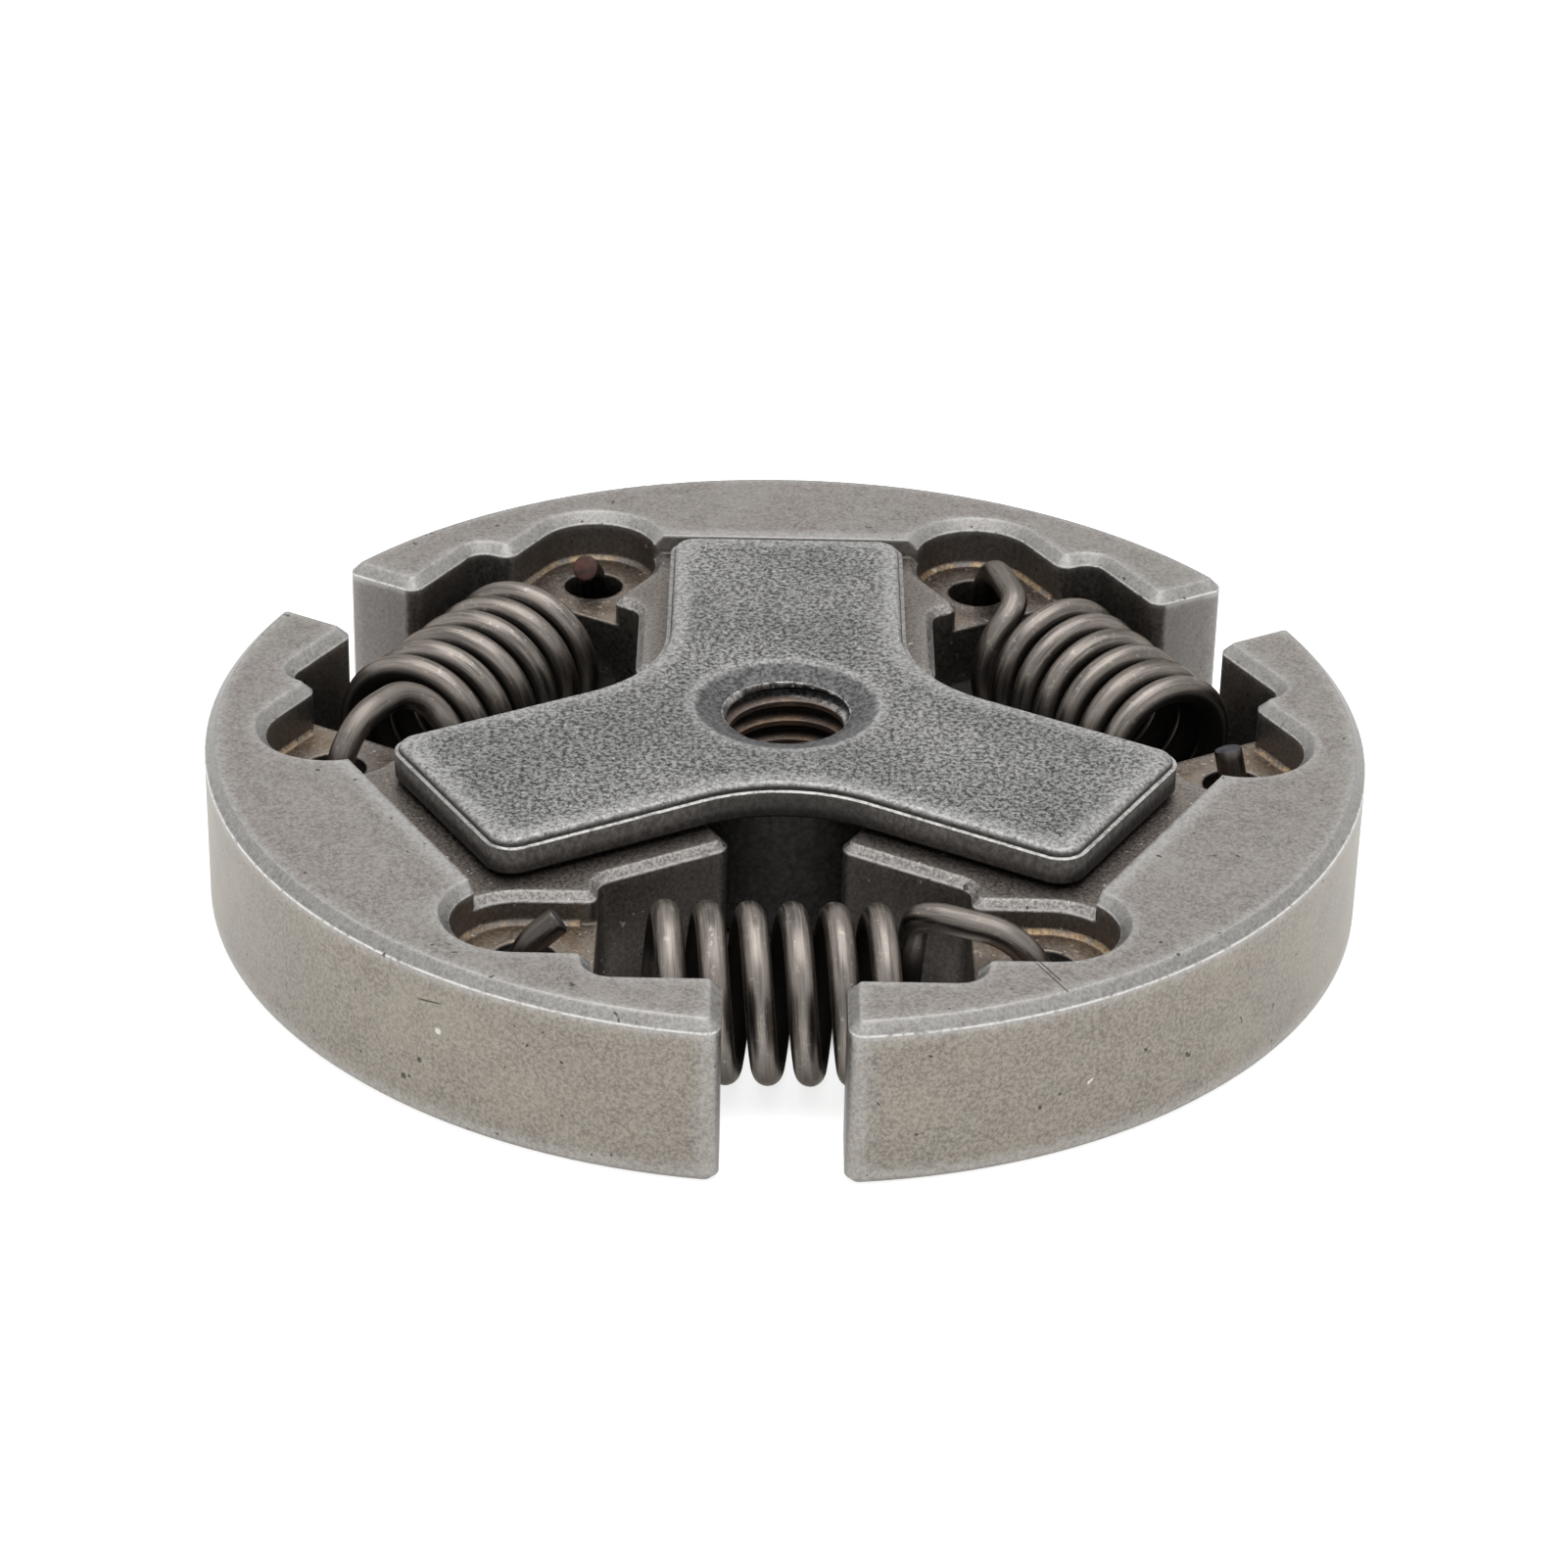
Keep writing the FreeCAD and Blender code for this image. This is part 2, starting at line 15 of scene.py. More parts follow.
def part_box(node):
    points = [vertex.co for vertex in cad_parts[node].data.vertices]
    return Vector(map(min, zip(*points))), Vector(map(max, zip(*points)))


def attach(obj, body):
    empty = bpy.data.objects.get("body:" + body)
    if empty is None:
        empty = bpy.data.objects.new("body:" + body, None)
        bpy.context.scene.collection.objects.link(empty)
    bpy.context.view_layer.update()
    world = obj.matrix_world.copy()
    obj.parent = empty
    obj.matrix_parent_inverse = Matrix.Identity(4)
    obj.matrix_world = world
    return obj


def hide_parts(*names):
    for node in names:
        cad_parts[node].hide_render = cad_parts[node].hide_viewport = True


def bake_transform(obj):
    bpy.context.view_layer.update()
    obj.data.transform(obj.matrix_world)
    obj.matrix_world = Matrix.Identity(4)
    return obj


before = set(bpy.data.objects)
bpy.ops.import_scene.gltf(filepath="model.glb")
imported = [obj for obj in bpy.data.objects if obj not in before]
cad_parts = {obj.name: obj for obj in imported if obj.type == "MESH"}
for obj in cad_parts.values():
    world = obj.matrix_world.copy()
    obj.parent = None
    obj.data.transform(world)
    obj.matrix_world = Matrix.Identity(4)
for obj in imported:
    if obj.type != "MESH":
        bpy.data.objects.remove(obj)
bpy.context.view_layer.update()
MM = 0.001
SHOE_NAMES = ("shoe_back", "shoe_left", "shoe_right")
print("nodes:", ", ".join(sorted(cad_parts)))

# %% [markdown]
# ## The camera
# The view was fitted to the rim's ellipses: a long lens about 260 mm away, 30 degrees above the table.
# The camera looks at a point a little above the hub, so the clutch sits just below the picture's middle.
# It also leans by a degree or so, which a real camera on a tripod often does.

# %% Place the camera
IMAGE_SIDE = 1601
FOCAL_PIXELS = 4614.0
SENSOR_MM = 36.0
CAMERA_DISTANCE = 0.26287
CAMERA_ELEVATION = math.radians(30.041)
CAMERA_YAW = math.radians(-0.538)
CAMERA_ROLL = math.radians(1.315)
AIM_ACROSS_PIXELS = -0.43
AIM_DOWN_PIXELS = -85.95

back = Vector((0, -math.cos(CAMERA_ELEVATION), math.sin(CAMERA_ELEVATION)))
upward = Vector((0, math.sin(CAMERA_ELEVATION), math.cos(CAMERA_ELEVATION)))
level = Matrix((Vector((1, 0, 0)), upward, back))
pan = Matrix.Rotation(math.atan2(AIM_ACROSS_PIXELS, FOCAL_PIXELS), 3, "Y")
tilt = Matrix.Rotation(math.atan2(AIM_DOWN_PIXELS, FOCAL_PIXELS), 3, "X")
roll = Matrix.Rotation(-CAMERA_ROLL, 3, "Z")
turned = Matrix.Rotation(CAMERA_YAW, 3, "Z")
camera_axes = turned @ (roll @ tilt @ pan @ level).transposed()

camera_data = bpy.data.cameras.new("photo_camera")
camera_data.sensor_width = SENSOR_MM
camera_data.lens = SENSOR_MM * FOCAL_PIXELS / IMAGE_SIDE
camera_data.clip_start = 0.01
camera = bpy.data.objects.new("photo_camera", camera_data)
camera.matrix_world = Matrix.Translation(turned @ back * CAMERA_DISTANCE) @ camera_axes.to_4x4()
bpy.context.scene.collection.objects.link(camera)
bpy.context.scene.camera = camera
print(f"lens {camera_data.lens:.1f} mm, camera at {tuple(round(v, 3) for v in camera.location)}")

# %% [markdown]
# ## Node helpers
# Each finish is a small node tree. These helpers keep the trees short. They add a node and fill its
# inputs, turn a value into a mask between two levels, join masks, mix two colours by a mask, and read a
# noise at a place given in millimetres.

# %% Node helpers
def put(tree, kind, inputs=None, **options):
    """Add a node, set its options, and fill its inputs with values or with other nodes' outputs."""
    made = tree.nodes.new(kind)
    for option, value in options.items():
        setattr(made, option, value)
    for socket, value in (inputs or {}).items():
        if isinstance(value, bpy.types.NodeSocket):
            tree.links.new(value, made.inputs[socket])
        else:
            made.inputs[socket].default_value = value
    return made


def calc(tree, operation, *values, clamp=False):
    """A Math node's output."""
    made = put(tree, "ShaderNodeMath", dict(enumerate(values)), operation=operation, use_clamp=clamp)
    return made.outputs[0]


def between(tree, value, low, high):
    """A smooth mask that is 0 below low and 1 above high. With low above high it runs the other way."""
    made = put(tree, "ShaderNodeMapRange", {"Value": value, "From Min": low, "From Max": high},
               interpolation_type="SMOOTHSTEP")
    return made.outputs["Result"]


def band(tree, value, low, high, soft):
    """A mask that is 1 from low to high and fades over the soft width outside them."""
    rise = between(tree, value, low - soft, low)
    return calc(tree, "MULTIPLY", rise, between(tree, value, high + soft, high))


def both(tree, *masks):
    """Where all the masks meet: their product."""
    product = masks[0]
    for mask in masks[1:]:
        product = calc(tree, "MULTIPLY", product, mask)
    return product


def without(tree, mask):
    """The opposite of a mask."""
    return calc(tree, "SUBTRACT", 1.0, mask)


def blend_colours(tree, mask, first, second):
    """The first colour where the mask is 0, the second where it is 1."""
    made = put(tree, "ShaderNodeMix", {0: mask}, data_type="RGBA")
    for index, colour in ((6, first), (7, second)):
        if isinstance(colour, bpy.types.NodeSocket):
            tree.links.new(colour, made.inputs[index])
        else:
            made.inputs[index].default_value = (*colour, 1.0)
    return made.outputs[2]


def noise(tree, place, scale, detail=2.0, roughness=0.5, seed=0.0):
    """Noise with its scale in features per millimetre. Another seed gives another pattern."""
    made = put(tree, "ShaderNodeTexNoise", {"Vector": place, "W": seed, "Scale": scale, "Detail": detail,
                                            "Roughness": roughness}, noise_dimensions="4D")
    return made.outputs[0]


def millimetres(tree):
    """The point's place on the object in millimetres."""
    place = put(tree, "ShaderNodeTexCoord").outputs["Object"]
    scaled = put(tree, "ShaderNodeVectorMath", {0: place, "Scale": 1 / MM}, operation="SCALE")
    return scaled.outputs[0]


def new_finish(name):
    """An empty node material with its output and a metallic shader."""
    material = bpy.data.materials.new(name)
    material.use_nodes = True
    tree = material.node_tree
    tree.nodes.clear()
    shader = put(tree, "ShaderNodeBsdfPrincipled", {"Metallic": 1.0})
    put(tree, "ShaderNodeOutputMaterial", {"Surface": shader.outputs[0]}, target="ALL")
    return material, tree, shader


print("helpers ready")

# %% [markdown]
# ## Edges of a pressed part
# A pressed and tumbled steel part is never knife-sharp. The Bevel node bends the shading normal round
# each edge, and looking inward with Ambient Occlusion finds the outer edges, where handling has rubbed
# the dark skin away. Looking outward finds the inner corners, where the finishes paint shade along with
# oil and dust.

# %% Edge masks
EDGE_BEND = (0.002, 0.02)
RAGGED_WEAR = 0.28
BEVEL_SAMPLES = 6
SHADE_SAMPLES = 12
SPOT_CORE = 0.55
SCRATCH_CORE = 0.4
SCRATCH_FADE_MM = 0.4
GRAIN_DEPTH = 0.03 * MM


class Surface:
    """What a finish asks about a point: its place, its direction and how near it is to an edge."""

    def __init__(self, tree, round_mm, rubbed_mm, occlusion_mm):
        self.place = millimetres(tree)
        split = put(tree, "ShaderNodeSeparateXYZ", {0: self.place})
        flat = put(tree, "ShaderNodeCombineXYZ", {"X": split.outputs["X"], "Y": split.outputs["Y"]})
        away = put(tree, "ShaderNodeVectorMath", {0: flat.outputs[0]}, operation="LENGTH")
        self.depth = split.outputs["Y"]
        self.height = split.outputs["Z"]
        self.away = away.outputs["Value"]

        normal = put(tree, "ShaderNodeNewGeometry").outputs["True Normal"]
        self.upward = put(tree, "ShaderNodeSeparateXYZ", {0: normal}).outputs["Z"]
        bevel = put(tree, "ShaderNodeBevel", {"Radius": round_mm * MM}, samples=BEVEL_SAMPLES)
        self.rounded = bevel.outputs[0]
        agree = put(tree, "ShaderNodeVectorMath", {0: self.rounded, 1: normal}, operation="DOT_PRODUCT")
        self.edge = between(tree, without(tree, agree.outputs["Value"]), *EDGE_BEND)

        inside = put(tree, "ShaderNodeAmbientOcclusion", {"Distance": rubbed_mm * MM},
                     samples=SHADE_SAMPLES, inside=True, only_local=True)
        outside = put(tree, "ShaderNodeAmbientOcclusion", {"Distance": occlusion_mm * MM}, samples=SHADE_SAMPLES)
        uneven = noise(tree, self.place, 2.0, 3.0)
        ragged = calc(tree, "MULTIPLY_ADD", uneven, RAGGED_WEAR, -RAGGED_WEAR / 2)
        self.rubbed = calc(tree, "ADD", without(tree, inside.outputs["AO"]), ragged)
        # How closely other surfaces crowd round a point, for the painted shade and dirt in inner corners.
        self.occluded = without(tree, outside.outputs["AO"])

    def near(self, tree, point, radius):
        """A round spot about a point, for a nick or a pit."""
        gap = put(tree, "ShaderNodeVectorMath", {0: self.place, 1: point}, operation="DISTANCE")
        return between(tree, gap.outputs["Value"], radius, radius * SPOT_CORE)

    def scratch(self, tree, start, end, width):
        """A thin straight scratch from one point to another."""
        run = Vector(end) - Vector(start)
        reach = put(tree, "ShaderNodeVectorMath", {0: self.place, 1: start}, operation="SUBTRACT").outputs[0]
        along = put(tree, "ShaderNodeVectorMath", {0: reach, 1: run.normalized()}, operation="DOT_PRODUCT")
        beside = put(tree, "ShaderNodeVectorMath", {0: reach, 1: run.normalized()}, operation="CROSS_PRODUCT")
        across = put(tree, "ShaderNodeVectorMath", {0: beside.outputs[0]}, operation="LENGTH")
        return both(tree, band(tree, along.outputs["Value"], 0.0, run.length, SCRATCH_FADE_MM),
                    between(tree, across.outputs["Value"], width, width * SCRATCH_CORE))


print("edge masks ready")

# %% [markdown]
# ## The hub's finish
# The hub's plate keeps the open grain of sintered steel: pale grains in a dark field, like salt and
# pepper. Its edges are rubbed to a pale band, and the narrow land below them has a painted highlight,
# brightest at the front. The dish round the bore is painted darker as shade, inside a pale ring that is a
# painted highlight. The plate's sides are smoother and darker, the column below is an even grey, and the
# thread is black-brown with oil, with painted highlights on its crests and painted shade in its roots.
# Painted shade and dirt darken the inner corners below the land, with a thin line of them at the
# roll-off's foot.

# %% Finish of the hub
hub_low, hub_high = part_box("hub")
PLATE_TOP_MM = hub_high.z / MM
LAND_MM = PLATE_TOP_MM - 0.45
PLATE_BASE_MM = PLATE_TOP_MM - 2.1
DISH_RADIUS_MM = 5.4
LEAD_RADIUS_MM = 3.65
THREAD_TOP_MM = PLATE_TOP_MM - 1.25
ARM_REACH_MM = hub_high.y / MM
LEFT_ARM = (-math.cos(math.radians(30)), -math.sin(math.radians(30)), 0)
# Each pair is where a mask starts and where it is full, in distance from the axis, or along Y for the front.
THREAD_SLOPE_MM = (3.80, 3.36)
THREAD_RIM_MM = (3.6, 3.5)
BORE_EDGE_MM = (4.2, 4.1)
BEYOND_DISH_MM = (6.5, 7.0)
NOTCH_MM = (14.0, 9.0)
FRONT_MM = (1.0, -4.0)


def hub_top(tree, on):
    """Colour of the plate's grainy top, its worn band, and its dish with painted shade inside a painted
    highlight ring.
    """
    grain = between(tree, noise(tree, on.place, 3.6, 3.0, 0.75), 0.39, 0.61)
    bright = between(tree, noise(tree, on.place, 3.0, 1.0, seed=3.0), 0.64, 0.74)
    pores = between(tree, noise(tree, on.place, 2.6, 1.0, seed=5.0), 0.38, 0.30)
    cloud = between(tree, noise(tree, on.place, 0.13, 3.0, 0.55, seed=1.0), 0.36, 0.66)
    field = blend_colours(tree, cloud, (0.036, 0.0356, 0.035), (0.06, 0.059, 0.0575))
    pale = blend_colours(tree, cloud, (0.285, 0.2825, 0.278), (0.375, 0.3705, 0.361))
    colour = blend_colours(tree, grain, field, pale)
    worn = blend_colours(tree, grain, (0.235, 0.232, 0.226), (0.43, 0.426, 0.415))
    # The pale ring round the dish's rim is a painted highlight, mixed in with the rubbed edges.
    ring = band(tree, on.away, DISH_RADIUS_MM, DISH_RADIUS_MM + 0.15, 0.5)
    outer = between(tree, on.away, DISH_RADIUS_MM + 0.4, DISH_RADIUS_MM + 0.8)
    rubbed = calc(tree, "MAXIMUM", both(tree, between(tree, on.rubbed, 0.02, 0.20), outer, 0.85),
                  both(tree, ring, 0.65))
    colour = blend_colours(tree, rubbed, colour, worn)
    # The dish inside the ring is painted darker as shade.
    dish_shade = between(tree, on.away, DISH_RADIUS_MM - 0.05, DISH_RADIUS_MM - 0.4)
    colour = blend_colours(tree, both(tree, dish_shade, 0.55), colour, (0.055, 0.055, 0.058))
    colour = blend_colours(tree, both(tree, pores, 0.6), colour, (0.04, 0.039, 0.04))
    colour = blend_colours(tree, both(tree, bright, without(tree, dish_shade), 0.65), colour, (0.50, 0.495, 0.48))
    return colour, grain


def hub_bore(tree, on, colour):
    """The lead-in with painted highlight lines at its edges, and the oily thread below it, with painted
    highlights on its crests and painted shade in its roots.
    """
    speck = between(tree, noise(tree, on.place, 2.6, 3.0, 0.7, seed=7.0), 0.38, 0.64)
    lead = blend_colours(tree, speck, (0.10, 0.092, 0.088), (0.40, 0.385, 0.37))
    colour = blend_colours(tree, between(tree, on.away, LEAD_RADIUS_MM + 0.03, LEAD_RADIUS_MM), colour, lead)
    # Painted highlights and shade: the crests are lighter and copper with oil, and the roots are painted
    # dark.
    crest_highlight = between(tree, on.away, *THREAD_SLOPE_MM)
    copper = between(tree, noise(tree, on.place, 0.35, 2.0, seed=9.0), 0.42, 0.62)
    oil = blend_colours(tree, copper, (0.17, 0.138, 0.12), (0.27, 0.19, 0.135))
    thread = blend_colours(tree, crest_highlight, (0.045, 0.036, 0.031), oil)
    below = both(tree, between(tree, on.away, *BORE_EDGE_MM),
                 between(tree, on.height, THREAD_TOP_MM - 0.1, THREAD_TOP_MM - 0.2))
    colour = blend_colours(tree, below, colour, thread)
    # Painted highlight lines at the lead-in's edge and at the thread's top edge.
    edge_highlight_lines = calc(tree, "MAXIMUM",
                 both(tree, band(tree, on.away, LEAD_RADIUS_MM, LEAD_RADIUS_MM + 0.03, 0.05),
                      between(tree, on.height, PLATE_TOP_MM - 0.6, PLATE_TOP_MM - 0.5)),
                 both(tree, band(tree, on.height, THREAD_TOP_MM - 0.01, THREAD_TOP_MM + 0.03, 0.05),
                      between(tree, on.away, *THREAD_RIM_MM)))
    return blend_colours(tree, both(tree, edge_highlight_lines, speck, 0.8), colour, (0.55, 0.54, 0.52))


def finish_hub():
    """The plate's top and sides, the column, the land with its painted highlight, the painted shade and dirt,
    and the bore in one material.
    """
    material, tree, shader = new_finish("hub_steel_finish")
    on = Surface(tree, round_mm=0.05, rubbed_mm=2.0, occlusion_mm=2.2)
    flat = between(tree, on.upward, 0.30, 0.85)
    top, grain = hub_top(tree, on)

    streak = put(tree, "ShaderNodeMapping", {"Vector": on.place, "Scale": (1.0, 1.0, 0.85)}).outputs[0]
    brushed = between(tree, noise(tree, streak, 3.0, 4.0, 0.75, seed=2.0), 0.36, 0.66)
    side = blend_colours(tree, brushed, (0.055, 0.050, 0.047), (0.115, 0.106, 0.099))
    worn = both(tree, between(tree, on.rubbed, 0.45, 0.75), 0.35)
    side = blend_colours(tree, worn, side, (0.22, 0.21, 0.2))
    notch = both(tree, between(tree, on.away, *NOTCH_MM), 0.6)
    side = blend_colours(tree, notch, side, (0.03, 0.028, 0.026))
    colour = blend_colours(tree, flat, side, top)

    column = blend_colours(tree, brushed, (0.21, 0.206, 0.203), (0.38, 0.373, 0.366))
    below = between(tree, on.height, PLATE_BASE_MM + 0.05, PLATE_BASE_MM - 0.05)
    colour = blend_colours(tree, below, colour, column)

    outside = between(tree, on.away, *BEYOND_DISH_MM)
    # A thin dark line at the foot of the roll-off, beyond the dish: painted shade and dirt.
    foot_shade_and_dirt = both(tree, band(tree, on.height, LAND_MM + 0.03, LAND_MM + 0.10, 0.03), outside)
    colour = blend_colours(tree, both(tree, foot_shade_and_dirt, 0.35), colour, (0.05, 0.047, 0.045))
    # The land's burr gets a painted highlight, brightest at the front and dimmer at the left arm's end.
    chipped = between(tree, noise(tree, on.place, 2.6, 4.0, 0.7, seed=4.0), 0.36, 0.58)
    front = between(tree, on.depth, *FRONT_MM)
    along_arm = put(tree, "ShaderNodeVectorMath", {0: on.place, 1: LEFT_ARM}, operation="DOT_PRODUCT")
    left_end = between(tree, along_arm.outputs["Value"], ARM_REACH_MM - 0.6, ARM_REACH_MM - 0.2)
    lit = calc(tree, "MULTIPLY_ADD", left_end, -0.6, 1.0)
    shine = calc(tree, "MULTIPLY_ADD", both(tree, front, chipped, lit), 0.70, 0.10)
    land_burr_and_highlight = both(tree, band(tree, on.height, LAND_MM - 0.02, LAND_MM + 0.01, 0.015), outside, shine)
    colour = blend_colours(tree, land_burr_and_highlight, colour, (0.68, 0.67, 0.645))

    # Painted shade and dirt in the inner corners below the land.
    low = between(tree, on.height, LAND_MM, LAND_MM - 0.3)
    shade_and_dirt = both(tree, between(tree, on.occluded, 0.35, 0.95), 0.5, low)
    colour = blend_colours(tree, shade_and_dirt, colour, (0.022, 0.02, 0.018))
    colour = hub_bore(tree, on, colour)
    tree.links.new(colour, shader.inputs["Base Color"])

    tree.links.new(calc(tree, "MULTIPLY_ADD", grain, 0.12, 0.42), shader.inputs["Roughness"])
    relief = both(tree, grain, flat)
    bump = put(tree, "ShaderNodeBump", {"Strength": 0.4, "Distance": GRAIN_DEPTH, "Height": relief,
                                        "Normal": on.rounded})
    tree.links.new(bump.outputs[0], shader.inputs["Normal"])
    return material


hub_finish = finish_hub()
print("made", hub_finish.name)

# %% [markdown]
# ## The shoes' finish
# The shoes are denser and smoother. Their tops are a warm, faintly mottled grey with a few tiny pits, the
# ground outer face is warmer, and the broken edges are pale with a ragged burr where the press tools met,
# painted bright as a highlight, and a thin line of painted shade and dirt just above it. Ledges and pocket
# walls are dark brown, oil has dried golden on the floors of the hook slots with glints on it painted as
# highlights, and painted shade and dirt darken the inner corners. All of this follows the face's
# direction, its height and its distance from the axis.

# %% Finish of the shoes
shoe_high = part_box("shoe_back")[1]
RIM_RADIUS_MM = shoe_high.y / MM
RIM_TOP_MM = shoe_high.z / MM
RIM_BREAK_MM = RIM_TOP_MM - 0.6
LEDGE_MM = RIM_TOP_MM - 1.2
LEDGE_BREAK_MM = LEDGE_MM - 0.45
SLOT_FLOOR_MM = RIM_TOP_MM - 3.0
# Each pair is again where a mask starts and where it is full.
ABOVE_LEDGE_MM = (LEDGE_MM + 0.1, LEDGE_MM + 0.4)
DRUM_FACE_MM = (RIM_RADIUS_MM - 0.6, RIM_RADIUS_MM - 0.2)
SLOT_WALL_MM = (17.0, 18.5)
FINGER_MM = (28.2, 29.2)
DUSTY_MM = (28.0, 27.0)


def shoe_faces(tree, on, fleck):
    """Colour of the rim's top, the ledge, the slot floors, the drum face and the walls."""
    cloud = between(tree, noise(tree, on.place, 0.22, 4.0, 0.65, seed=1.0), 0.36, 0.64)
    stain = between(tree, noise(tree, on.place, 0.22, 4.0, 0.65, seed=6.0), 0.42, 0.60)
    flat = between(tree, on.upward, 0.80, 0.95)
    mottle = between(tree, noise(tree, on.place, 1.1, 4.0, 0.7, seed=15.0), 0.38, 0.62)
    top = blend_colours(tree, cloud, (0.145, 0.127, 0.116), (0.23, 0.209, 0.187))
    top = blend_colours(tree, both(tree, stain, 0.8), top, (0.172, 0.142, 0.134))
    top = blend_colours(tree, both(tree, mottle, 0.4), top, (0.29, 0.274, 0.256))
    top = blend_colours(tree, both(tree, fleck, 0.75), top, (0.352, 0.332, 0.31))
    ledge = blend_colours(tree, fleck, (0.10, 0.085, 0.075), (0.24, 0.21, 0.188))
    oil = blend_colours(tree, fleck, (0.085, 0.063, 0.05), (0.22, 0.18, 0.15))
    oil = blend_colours(tree, both(tree, stain, 0.5), oil, (0.30, 0.225, 0.15))
    # Glints on the slot floors' oil are painted highlights.
    glint = between(tree, noise(tree, on.place, 2.6, 2.0, 0.6, seed=17.0), 0.60, 0.70)
    oil = blend_colours(tree, both(tree, glint, 0.8), oil, (0.58, 0.47, 0.36))
    level = blend_colours(tree, between(tree, on.height, LEDGE_MM + 0.2, LEDGE_MM + 0.4), ledge, top)
    slot_floor = between(tree, on.height, SLOT_FLOOR_MM + 0.5, SLOT_FLOOR_MM + 0.3)
    level = blend_colours(tree, slot_floor, level, oil)

    drum_face = blend_colours(tree, cloud, (0.142, 0.128, 0.113), (0.198, 0.178, 0.142))
    drum_face = blend_colours(tree, both(tree, stain, 0.6), drum_face, (0.148, 0.126, 0.112))
    drum_face = blend_colours(tree, both(tree, mottle, 0.2), drum_face, (0.26, 0.238, 0.204))
    drum_face = blend_colours(tree, both(tree, fleck, 0.7), drum_face, (0.372, 0.345, 0.302))
    wall = blend_colours(tree, fleck, (0.12, 0.105, 0.095), (0.23, 0.206, 0.186))
    slot_wall = blend_colours(tree, fleck, (0.13, 0.113, 0.103), (0.22, 0.198, 0.182))
    high = both(tree, between(tree, on.height, SLOT_FLOOR_MM - 0.1, SLOT_FLOOR_MM + 0.3),
                between(tree, on.away, *SLOT_WALL_MM))
    wall = blend_colours(tree, high, wall, slot_wall)
    finger = blend_colours(tree, both(tree, fleck, 0.7), (0.13, 0.121, 0.113), (0.24, 0.226, 0.213))
    wall = blend_colours(tree, between(tree, on.away, *FINGER_MM), wall, finger)
    outer = between(tree, on.away, *DRUM_FACE_MM)
    side = blend_colours(tree, outer, wall, drum_face)
    return blend_colours(tree, flat, side, level)


def shoe_edges(tree, on, fleck, colour):
    """The broken edges, the ragged burr below them painted bright as a highlight, a thin line of painted
    shade and dirt, and the golden corner of the slots.
    """
    slope = both(tree, between(tree, on.upward, 0.25, 0.5), between(tree, on.upward, 0.95, 0.8))
    rim_edge = blend_colours(tree, fleck, (0.19, 0.181, 0.171), (0.30, 0.29, 0.276))
    ledge_edge = blend_colours(tree, fleck, (0.11, 0.10, 0.093), (0.37, 0.352, 0.333))
    high = between(tree, on.height, *ABOVE_LEDGE_MM)
    broken_colour = blend_colours(tree, high, ledge_edge, rim_edge)
    broken = both(tree, slope, between(tree, on.height, LEDGE_BREAK_MM - 0.1, LEDGE_BREAK_MM), 0.9)
    colour = blend_colours(tree, broken, colour, broken_colour)

    worn = blend_colours(tree, fleck, (0.34, 0.332, 0.319), (0.45, 0.44, 0.425))
    drum = between(tree, on.away, *DRUM_FACE_MM)
    open_face = calc(tree, "MULTIPLY_ADD", calc(tree, "MAXIMUM", high, both(tree, drum, 0.55)), 0.7, 0.3)
    rubbed = both(tree, between(tree, on.rubbed, 0.0, 0.27), 0.75, open_face)
    colour = blend_colours(tree, rubbed, colour, worn)

    patchy = between(tree, noise(tree, on.place, 0.8, 3.0, seed=13.0), 0.38, 0.60)
    gold = blend_colours(tree, fleck, (0.20, 0.135, 0.08), (0.44, 0.33, 0.21))
    corner = both(tree, slope, band(tree, on.height, SLOT_FLOOR_MM, SLOT_FLOOR_MM + 0.3, 0.1), patchy)
    colour = blend_colours(tree, corner, colour, gold)

    # The ragged burr at each chamfer's foot, painted bright as a highlight.
    seam_burr_and_highlight = calc(tree, "MAXIMUM", band(tree, on.height, RIM_BREAK_MM - 0.05, RIM_BREAK_MM + 0.04, 0.04),
                band(tree, on.height, LEDGE_BREAK_MM - 0.12, LEDGE_BREAK_MM + 0.07, 0.04))
    chipped = between(tree, noise(tree, on.place, 2.8, 4.0, 0.75, seed=4.0), 0.34, 0.52)
    colour = blend_colours(tree, both(tree, seam_burr_and_highlight, on.edge, chipped, 0.95), colour, (0.84, 0.825, 0.80))
    # A thin dark line on the chamfer just above it: painted shade and dirt.
    groove_shade_and_dirt = both(tree, band(tree, on.height, RIM_BREAK_MM + 0.10, RIM_BREAK_MM + 0.20, 0.06), slope,
                  without(tree, chipped))
    return blend_colours(tree, both(tree, groove_shade_and_dirt, 0.35), colour, (0.06, 0.054, 0.05))


# Marks on the shoes, in millimetres: a spot's middle and radius, or a scratch's two ends and width.
NICKS = (((-18.04, -27.63, 5.78), 0.24), ((15.97, -28.88, 4.15), 0.13), ((16.10, -28.80, 4.25), 0.12))
PITS = (((-19.11, -26.91, 3.54), 0.20), ((-20.01, -26.24, 2.12), 0.22))
SCRATCHES = (((12.53, -24.66, 9.7), (14.22, -27.75, 9.7), 0.07),
             ((13.17, -26.32, 9.7), (14.66, -29.09, 9.7), 0.06),
             ((-18.9, -27.05, 7.35), (-18.0, -27.65, 7.5), 0.07))


